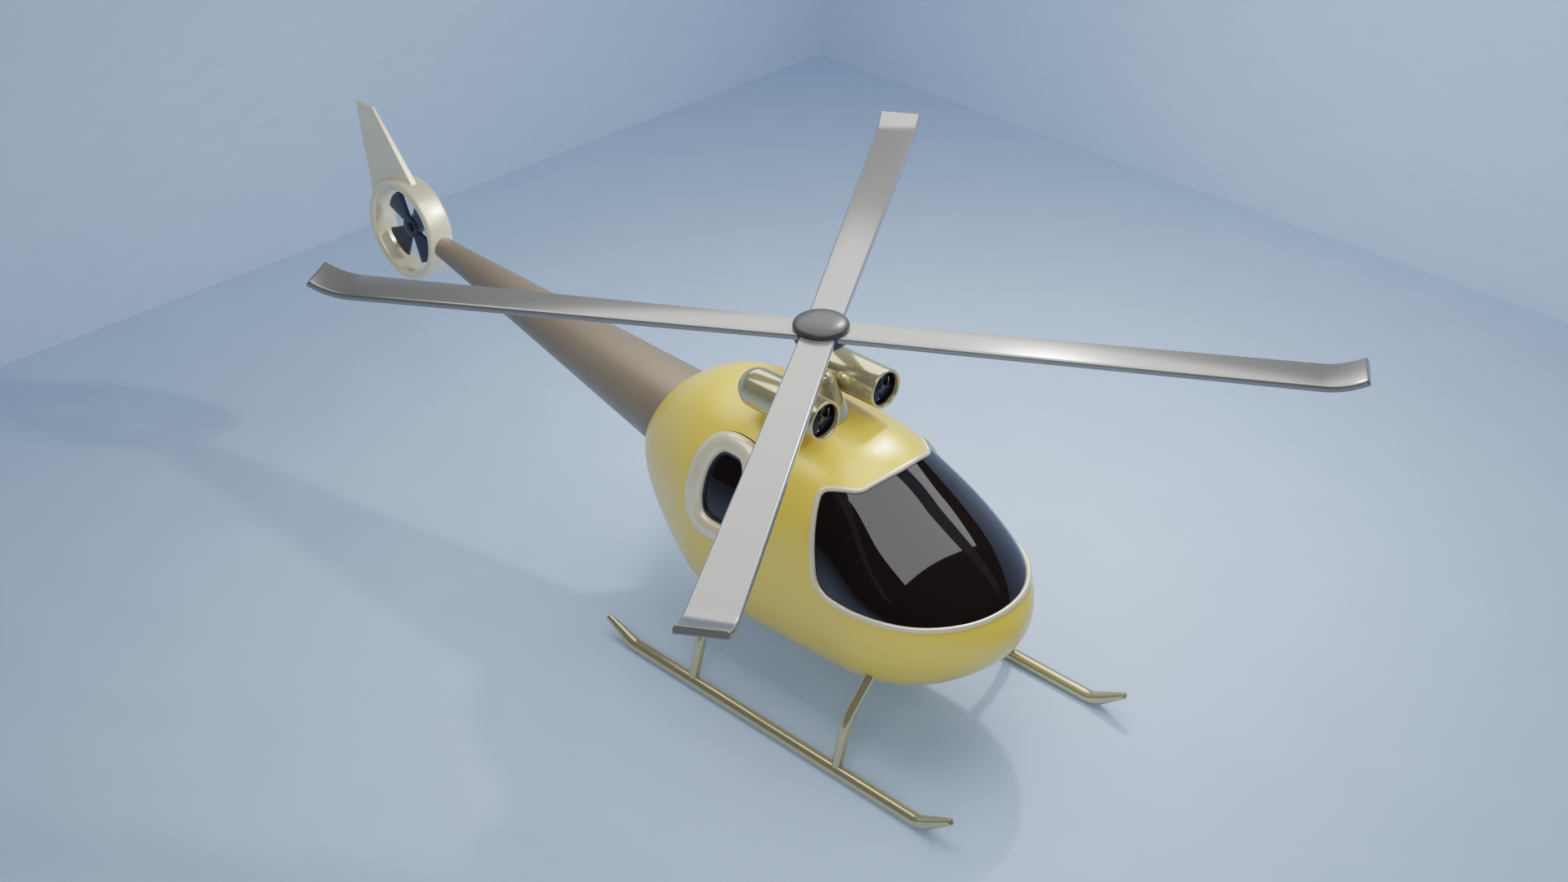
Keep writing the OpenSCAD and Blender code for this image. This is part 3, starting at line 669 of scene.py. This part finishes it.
# ---- Pylon and nacelles ---------------------------------------------------------------------
# Radius, height and rounding of each corner, from the foot up the outside and down the mast's bore
PYLON = [(0, 80, 0), (6, 80, 0.3), (6, 86, 0.3), (12, 86, 0.3), (12, 88, 0.3), (9.5, 88, 0.3), (9.2, 90, 1),
         (8.8, 92, 4), (7.2, 96.5, 12), (5.2, 101.5, 12), (4.4, 104, 4), (3.4, 105.6, 2), (2.05, 106.6, 0.3),
         (2.05, 80.5, 0), (0, 80.5, 0)]
piece("pylon_cone", *lathe(fillet([p[:2] for p in PYLON], [p[2] for p in PYLON], 6), along_z((0, 0, 0)), 96),
      "airframe", "pale_brass", ["engine_pylon"], crease=50)

NACELLE_R, NACELLE_FRONT, NACELLE_BACK = 6.5, 15.1, -19.8
INTAKE_R, INTAKE_DEPTH = 5.5, 4.0
THROAT_X = NACELLE_FRONT - 1.4    # where the intake's dark lining starts
LINING = 0.05                     # how far it stands off the nacelle's walls


def nacelle(name, side):
    """An engine pod with a round back, and the dark lining of its intake."""
    to_pod = along_x((0, side * NACELLE_Y, NACELLE_Z))
    dome = [(NACELLE_R * math.sin(a), NACELLE_BACK + NACELLE_R * (1 - math.cos(a)))
            for a in np.linspace(0, math.pi / 2, 17)]
    floor_x = NACELLE_FRONT - INTAKE_DEPTH
    mouth = [dome[-1], (NACELLE_R, NACELLE_FRONT), (INTAKE_R, NACELLE_FRONT), (INTAKE_R, floor_x),
             (0, floor_x)]
    shell = dome[:-1] + fillet(mouth, [0, 0.45, 0.45, 0.5, 0], 6)
    inner, outer = INTAKE_R - LINING, INTAKE_R + 0.3
    lining = [(inner, THROAT_X), (inner, floor_x + LINING), (0, floor_x + LINING), (0, floor_x - 0.3),
              (outer, floor_x - 0.3), (outer, THROAT_X), (inner, THROAT_X)]
    piece(f"nacelle_throat_{name}", *lathe(lining, to_pod, 96), "airframe", "dark_glaze", crease=30)
    piece(f"nacelle_shell_{name}", *lathe(shell, to_pod, 96), "airframe", "pale_brass",
          [f"nacelle_{name}"], crease=50)


for name, side in SIDES.items():
    nacelle(name, side)


# ---- Fans -----------------------------------------------------------------------------------
def fan_blade(angle, pitch, root, tip, half_root, half_tip, thick, lift):
    """One blade of a fan around +Z, whose end lies on the fan's circle.

    lift is the height of the blade's middle, and the half widths are at its root and its tip."""
    er = np.array([math.cos(angle), math.sin(angle), 0])
    et = np.array([-math.sin(angle), math.cos(angle), 0])
    ez = np.array([0, 0, 1.0])
    chord = math.cos(pitch) * et + math.sin(pitch) * ez
    face = -math.sin(pitch) * et + math.cos(pitch) * ez
    stations = [(r, 1.0) for r in np.linspace(root, tip - 0.25, 10)]
    stations += [(tip - 0.07, 0.94), (tip, 0.8)]    # the end is thinner, so that its edges look eased
    # Each point stands so far out that the blade's end follows the fan's circle
    rings = []
    for r, shrink in stations:
        half = half_root + (half_tip - half_root) * (r - root) / (tip - root)
        section = ellipse(half * (1 - 0.2 * (1 - shrink)), thick / 2 * shrink, 4.0, 20)
        rings.append([er * math.sqrt(max(r * r - (a * math.cos(pitch)) ** 2, 0.2)) + chord * a + face * b
                      + ez * lift for a, b in section])
    return np.vstack(rings), ring_faces(len(rings), len(rings[0]))


def wheel(hub_profile, rounding, to_world, blades, n):
    """A fan's hub and blades as one mesh."""
    hub = lathe(fillet(hub_profile, *rounding), to_world, n)
    return joined(hub, *[(to_world(v), f) for v, f in blades])


QUARTER = math.pi / 2
FAN_REST = math.radians(46)
FAN_Y, FAN_LEN, FAN_TIP, FAN_HUB = -0.6, 3.2, 13.8, 4.2
to_fan = along_y((RING_X, FAN_Y, RING_Z))
blades = [fan_blade(-FAN_REST - k * QUARTER, math.radians(-3), 2.4, FAN_TIP, half_root=1.7, half_tip=6.4,
                    thick=1.5, lift=1.3) for k in range(4)]
piece("tail_fan_wheel", *wheel([(0, 0), (FAN_HUB, 0), (FAN_HUB, FAN_LEN), (0, FAN_LEN)], (0.6, 5), to_fan,
                               blades, 64), "tail_fan_body", "hub_black", ["tail_fan"], crease=50)
# The axle that the fan turns on, with its head in front of the hub
AXLE = [(0, -1.3), (1.7, -1.0), (1.7, -0.12), (1.0, -0.12), (1.0, 5.1), (0, 5.1)]
piece("tail_fan_button", *lathe(fillet(AXLE, [0, 0.5, 0.1, 0.1, 0.1, 0], 4), to_fan, 48), "airframe",
      "cap_grey", ["tail_fan_axle"], crease=50)

INTAKE_FAN_X, INTAKE_FAN_LEN, INTAKE_FAN_HUB, INTAKE_TIP = 11.5, 1.3, 1.5, 5.15
for name, side in SIDES.items():
    blades = [fan_blade(math.radians(45 + 90 * k), math.radians(14), 0.9, INTAKE_TIP, half_root=0.75,
                        half_tip=2.7, thick=0.55, lift=0.65) for k in range(4)]
    hub = [(0, 0), (INTAKE_FAN_HUB, 0), (INTAKE_FAN_HUB, INTAKE_FAN_LEN), (0, INTAKE_FAN_LEN)]
    to_intake = along_x((INTAKE_FAN_X, side * NACELLE_Y, NACELLE_Z))
    piece(f"intake_wheel_{name}", *wheel(hub, (0.3, 4), to_intake, blades, 40),
          f"intake_fan_body_{name}", "hub_black", [f"intake_fan_{name}"], crease=50)


# ---- Main rotor -----------------------------------------------------------------------------
ROTOR_R, ROTOR_REST = 160.0, math.radians(33.5)
BLADE_TOP, BLADE_T = 121.3, 2.3
ROOT_W, TIP_W = 10.7, 14.3
BLADE_ROOT = 5.8
CURL_LEN, CURL_R = 12.5, 24.0
TOP_BEVEL, LOW_BEVEL = 0.62, 0.35


def blade_section(half, thick, inset=0.0):
    """A blade's section [(side, up)] with its upper face at 0, bevelled above and below."""
    h, low = half - inset, inset - thick
    return [(-h + TOP_BEVEL, -inset), (h - TOP_BEVEL, -inset), (h, -inset - TOP_BEVEL), (h, low + LOW_BEVEL),
            (h - LOW_BEVEL, low), (-h + LOW_BEVEL, low), (-h, low + LOW_BEVEL), (-h, -inset - TOP_BEVEL)]


def rotor_blade():
    """One blade along +X with its upper face at z = 0."""
    flat_end = ROTOR_R - CURL_LEN
    turn = math.asin(CURL_LEN / CURL_R)
    stations = [(x, 0.0, 0.0) for x in np.linspace(BLADE_ROOT, flat_end, 30)]
    stations += [(flat_end + CURL_R * math.sin(a), CURL_R * (1 - math.cos(a)), a)
                 for a in np.linspace(0, turn, 17)[1:]]
    centres, ups, sections = [], [], []
    for x, z, a in stations:
        centres.append(np.array([x, 0, z]))
        ups.append(np.array([-math.sin(a), 0, math.cos(a)]))
        sections.append(blade_section((ROOT_W + (TIP_W - ROOT_W) * x / ROTOR_R) / 2, BLADE_T))
    # The end, eased over its bevel
    ahead = np.array([math.cos(turn), 0, math.sin(turn)])
    end = centres[-1].copy()
    centres[-1] = end - ahead * 0.5
    for back, inset in ((0.22, 0.06), (0.05, 0.2), (0.0, 0.36)):
        centres.append(end - ahead * back)
        ups.append(ups[-1])
        sections.append(blade_section(TIP_W / 2, BLADE_T, inset))
    return sweep(centres, [np.array([0, 1.0, 0])] * len(centres), ups, sections)


blade_verts, blade_faces = rotor_blade()
blade_verts = np.array(blade_verts)
for k in range(4):
    a = ROTOR_REST + k * QUARTER
    ahead, left = (math.cos(a), math.sin(a), 0), (-math.sin(a), math.cos(a), 0)
    place = axis_frame((0, 0, BLADE_TOP), ahead, left, (0, 0, 1))
    piece(f"blade_{k + 1}", place(blade_verts), [f[::-1] for f in blade_faces], "main_rotor", "blade_grey",
          [f"rotor_blade_{k + 1}"], crease=60, flat_shade=True)

HUB_R, HUB_PLATE, HUB_BORE = 8.2, 2.0, 3.45
DECK = BLADE_TOP - BLADE_T    # the blades lie on this height
SLOT_HALF = ROOT_W / 2 + 0.1


def hub_post(k):
    """The part of the hub between blade k and the next one."""
    first = ROTOR_REST + k * QUARTER + math.asin(SLOT_HALF / HUB_R)
    last = ROTOR_REST + (k + 1) * QUARTER - math.asin(SLOT_HALF / HUB_R)
    middle = ROTOR_REST + (k + 0.5) * QUARTER
    inner_r = SLOT_HALF * math.sqrt(2)
    outline = [(inner_r * math.cos(middle), inner_r * math.sin(middle))]
    outline += [(HUB_R * math.cos(t), HUB_R * math.sin(t)) for t in np.linspace(first, last, 8)]
    return [(x, y, z) for z in (DECK - 0.2, BLADE_TOP) for x, y in outline], ring_faces(2, len(outline))


# The hub: a plate under the blades, with a post between each two of them
PLATE = [(HUB_BORE, DECK - HUB_PLATE), (HUB_R, DECK - HUB_PLATE), (HUB_R, DECK - 0.02),
         (HUB_BORE, DECK - 0.02), (HUB_BORE, DECK - HUB_PLATE)]
piece("hub_plate", *joined(lathe(fillet(PLATE, 0.4, 4), along_z((0, 0, 0)), 96),
                           *[hub_post(k) for k in range(4)]),
      "main_rotor", "hub_black", ["rotor_hub"], crease=40)

CAP_R, CAP_H, CAP_RIM = 8.7, 3.5, 0.9
cap = [(0, BLADE_TOP), (CAP_R * 0.95, BLADE_TOP), (CAP_R, BLADE_TOP + 0.35), (CAP_R, BLADE_TOP + CAP_RIM)]
cap += [(CAP_R * math.cos(a) ** 0.7, BLADE_TOP + CAP_RIM + (CAP_H - CAP_RIM) * math.sin(a))
        for a in np.radians(np.linspace(4, 90, 24))]
cap[-1] = (0, BLADE_TOP + CAP_H)
piece("cap_dome", *lathe(cap, along_z((0, 0, 0)), 96), "main_rotor", "cap_grey", ["rotor_cap"], crease=50)


# ---- Tail -----------------------------------------------------------------------------------
BOOM_TAIL, BOOM_ROOT = np.array([-190, 0, 82.45]), np.array([-44, 0, 63.56])
BOOM_TAIL_R, BOOM_ROOT_R, BOOM_WALL = 3.7, 16.46, 1.6
axis = BOOM_ROOT - BOOM_TAIL
boom_len = np.linalg.norm(axis)
axis /= boom_len
left = np.array([0, 1.0, 0])
boom = [(0, 0), (BOOM_TAIL_R, 0), (BOOM_ROOT_R, boom_len), (BOOM_ROOT_R - BOOM_WALL, boom_len), (0, 30)]
piece("boom_cone", *lathe(boom, axis_frame(BOOM_TAIL, left, np.cross(axis, left), axis), 96), "airframe",
      "boom_taupe", ["tail_boom"], crease=50)

# The duct ring, with rounded edges
RING_RO, RING_RI, RING_HALF = 19.06, 15.9, 5.2
mid, half_t = (RING_RO + RING_RI) / 2, (RING_RO - RING_RI) / 2
straight = RING_HALF - half_t
section = [(mid + half_t * math.cos(a), straight * (1 if math.sin(a) > 0 else -1) + half_t * math.sin(a))
           for a in (np.arange(32) + 0.5) * 2 * math.pi / 32]
piece("ring_hoop", *loop_lathe(section, along_y((RING_X, 0, RING_Z)), 160), "airframe", "ivory_trim",
      ["tail_ring"], crease=60)

# The fin's outline from the ring's axis (x, z), and a point inside it
FIN = [(-17.2, 1.5), (-18.9, 2.5), (-26.4, 42.4), (-16.4, 42.4), (4.8, 18.2), (4.0, 16.6), (-4, 16.4),
       (-11.5, 12.5)]
FIN_MIDDLE = np.array([-11.0, 22.0])
FIN_FOOT, FIN_FOOT_HALF, FIN_TOP_HALF, FIN_TAPER_LEN = -3, 1.9, 0.6, 46


def fin():
    """A wedge, thick at the ring and thin at the top, with eased edges."""
    verts, m = [], len(FIN)
    for inset, depth in ((0.3, 1.0), (0.0, 0.82), (0.0, -0.82), (0.3, -1.0)):
        for x, z in FIN:
            towards = FIN_MIDDLE - [x, z]
            towards = towards / np.linalg.norm(towards) * inset
            px, pz = x + towards[0], z + towards[1]
            half = FIN_FOOT_HALF + (FIN_TOP_HALF - FIN_FOOT_HALF) * (pz - FIN_FOOT) / FIN_TAPER_LEN
            verts.append((RING_X + px, depth * half, RING_Z + pz))
    faces = [[i * m + j, (i + 1) * m + j, (i + 1) * m + (j + 1) % m, i * m + (j + 1) % m]
             for i in range(3) for j in range(m)]
    faces += [list(range(m)), list(range(3 * m, 4 * m))[::-1]]
    return verts, faces


piece("fin_plate", *fin(), "airframe", "ivory_trim", ["tail_fin"], crease=25, flat_shade=True)


# ---- Skids ----------------------------------------------------------------------------------
SKID_Y, SKID_R, SKID_Z = 41.5, 2.2, 2.05
SKID_BACK, SKID_FRONT = -43.9, 81.7    # where the runners turn up
FRONT_RISE, REAR_RISE = math.radians(32.8), math.radians(21.2)
FRONT_RUN, REAR_RUN = 14.2, 13.5       # lengths of the turned-up ends
SKID_BEND_R = 10
SKID_TIP_R = 1.1


def tube(path, radii, n=40):
    """A round bar through a path that lies in one plane; radii is one for each point."""
    path = np.asarray(path, float)
    ahead = np.gradient(path, axis=0)
    ahead /= np.linalg.norm(ahead, axis=1, keepdims=True)
    across = np.cross(ahead[0], ahead[-1])
    across = across / np.linalg.norm(across)
    ups = np.cross(across, ahead)
    t = np.arange(n) * 2 * math.pi / n
    sections = [[(r * math.cos(a), r * math.sin(a)) for a in t] for r in radii]
    return sweep(path, [across] * len(path), ups, sections)


def eased(path, radii, ease=0.3):
    """Adds a small rounding at both ends of a bar."""
    path, radii = list(map(np.array, path)), list(radii)
    for end in (0, -1):
        inner = path[1] if end == 0 else path[-2]
        tip, r = path[end], radii[end]
        out = (tip - inner) / np.linalg.norm(tip - inner)
        arc = np.radians([0, 22.5, 45, 67.5, 88])
        tips = [tip - out * ease * (1 - math.sin(a)) for a in arc]
        narrowed = [r - ease * (1 - math.cos(a)) for a in arc]
        if end == 0:
            path[0:1], radii[0:1] = tips[::-1], narrowed[::-1]
        else:
            path[-1:], radii[-1:] = tips, narrowed
    return path, radii


def bend(points, radius, steps=10):
    """A path in a plane along XZ with round corners."""
    flat = fillet([(p[0], p[2]) for p in points], radius, steps)
    return [np.array([x, points[0][1], z]) for x, z in flat]


def runner(name, side):
    """A skid with both ends turned up and tapered, and a flat where it meets the floor."""
    y = side * SKID_Y
    rear = (SKID_BACK - REAR_RUN * math.cos(REAR_RISE), y, SKID_Z + REAR_RUN * math.sin(REAR_RISE))
    front = (SKID_FRONT + FRONT_RUN * math.cos(FRONT_RISE), y, SKID_Z + FRONT_RUN * math.sin(FRONT_RISE))
    path = bend([rear, (SKID_BACK, y, SKID_Z), (SKID_FRONT, y, SKID_Z), front], SKID_BEND_R)
    taper_back = SKID_BACK - SKID_BEND_R * math.tan(REAR_RISE / 2)
    taper_front = SKID_FRONT + SKID_BEND_R * math.tan(FRONT_RISE / 2) * math.cos(FRONT_RISE)
    radii = np.interp([p[0] for p in path], [rear[0], taper_back, taper_front, front[0]],
                      [SKID_TIP_R, SKID_R, SKID_R, SKID_TIP_R])
    verts, faces = tube(*eased(path, radii))
    verts = np.array(verts)
    verts[:, 2] = np.maximum(verts[:, 2], 0)
    piece(f"runner_{name}", verts, faces, "airframe", "pale_brass", [f"skid_{name}"], crease=50)


STRUTS = {"front": 47.6, "rear": -15.7}    # x of each pair
STRUT_R = 1.75
STRUT_LOW, STRUT_HIGH = math.radians(75), math.radians(48)
LOW_LEN, HIGH_LEN, PEG_LEN, BEND_R = 13.0, 9.3, 8.0, 20.0


def strut_line():
    """A strut from its foot (outwards, up): straight, a bend inwards, and straight into the body."""
    low_end = LOW_LEN * np.array([-math.cos(STRUT_LOW), math.sin(STRUT_LOW)])
    path = [np.array([0.0, 0.0]), low_end]
    path += [low_end + BEND_R * np.array([-math.sin(STRUT_LOW) + math.sin(a),
                                          -math.cos(STRUT_LOW) + math.cos(a)])
             for a in np.linspace(STRUT_LOW, STRUT_HIGH, 13)[1:]]
    path.append(path[-1] + (HIGH_LEN + PEG_LEN) * np.array([-math.cos(STRUT_HIGH), math.sin(STRUT_HIGH)]))
    return path


for name, side in SIDES.items():
    runner(name, side)
for end, x in STRUTS.items():
    for name, side in SIDES.items():
        points = [np.array([x, side * (SKID_Y + out), SKID_Z + up]) for out, up in strut_line()]
        verts, faces = tube(*eased(points, [STRUT_R] * len(points)), n=32)
        piece(f"leg_{end}_{name}", verts, faces, "airframe", "pale_brass", [f"strut_{end}_{name}"], crease=50)


# ---- CAD pieces that stay -------------------------------------------------------------------
KEPT = {"body_screws": "pin_steel", "nacelle_cross_pin": "pin_steel", "intake_axle_right": "cap_grey",
        "intake_axle_left": "cap_grey", "rotor_mast": "pin_steel", "mast_ring": "pin_steel",
        "tail_screws": "pin_steel", "tail_fan_bridge": "hub_black", "rotor_bush": "bush_brass",
        "blade_screws": "pin_steel"}
for node, slot in KEPT.items():
    obj = frame["nodes"][node]
    obj.data.materials.clear()
    obj.data.materials.append(MATS[slot])


# ---- Floor, light and camera ----------------------------------------------------------------
def from_mast(x, y, z):
    """A place in the shared frame."""
    return (Vector((x, y, z)) + Vector((MAST_X, 0, 0))) * MM


floor_mat = material("pale_floor", (0.40, 0.52, 0.70), 0.75, spread=0.02, bump=0.0, size=40.0)


def backdrop(name, size, at, turned=(0, 0, 0), scale=(1, 1)):
    """A plane of pale paper; size is its side in metres, before scale along its two sides."""
    bpy.ops.mesh.primitive_plane_add(size=size, location=at, rotation=turned)
    plane = bpy.context.object
    plane.name = name
    plane.scale = (*scale, 1)
    plane.data.materials.append(floor_mat)


backdrop("floor", 16, (0, 0, 0))
backdrop("wall_left", 1, from_mast(-368, 62.5, 125), (0, math.pi / 2, 0), (0.25, 0.645))
backdrop("wall_back", 1, from_mast(132, 385, 125), (math.pi / 2, 0, 0), (1, 0.25))


def lamp(name, kind, energy, at, **settings):
    """A light at a place in millimetres from the mast."""
    data = bpy.data.lights.new(name, kind)
    data.energy = energy
    for key, value in settings.items():
        setattr(data, key, value)
    obj = bpy.data.objects.new(name, data)
    obj.location = from_mast(*at)
    bpy.context.scene.collection.objects.link(obj)
    return obj


FILL_AT = (300, -420, 330)
FILL_AIM = (0, 0, 40)
lamp("key", "POINT", 1.3, (-33, 155, 246), shadow_soft_size=0.008)
fill = lamp("fill", "AREA", 1.3, FILL_AT, shape="DISK", size=0.35)
fill.rotation_euler = (Vector(FILL_AT) - Vector(FILL_AIM)).to_track_quat("Z", "Y").to_euler()
fill.visible_glossy = False
fill.visible_camera = False
softbox = lamp("softbox", "AREA", 0.64, (-17, 50.5, 200), shape="RECTANGLE", size=0.282, size_y=0.253)
softbox.visible_camera = False

# The room gives even light everywhere, though what shines in the pieces is a dark room
AMBIENT = (0.32, 0.35, 0.39, 1)
DARK_ROOM = (0.012, 0.010, 0.008, 1)
world = bpy.data.worlds.new("room")
bpy.context.scene.world = world
world.use_nodes = True
nodes, links = world.node_tree.nodes, world.node_tree.links
ray = nodes.new("ShaderNodeLightPath")
mix = nodes.new("ShaderNodeMix")
mix.data_type = "RGBA"
mix.inputs["A"].default_value = AMBIENT
mix.inputs["B"].default_value = DARK_ROOM
links.new(ray.outputs["Is Glossy Ray"], mix.inputs["Factor"])
links.new(mix.outputs["Result"], nodes["Background"].inputs["Color"])

CAMERA_AT = (0.446032, -0.418857, 0.433834)
CAMERA_DOWN, CAMERA_TURN = 31.416, 44.608    # degrees below level, and round from +Y
camera_data = bpy.data.cameras.new("camera")
camera_data.lens = 50
camera_data.sensor_width = 36
camera_data.clip_start = 0.01
camera = bpy.data.objects.new("camera", camera_data)
camera.location = CAMERA_AT
camera.rotation_euler = (math.radians(90 - CAMERA_DOWN), 0, math.radians(CAMERA_TURN))
bpy.context.scene.collection.objects.link(camera)
bpy.context.scene.camera = camera
bpy.context.scene.view_settings.view_transform = "Filmic"
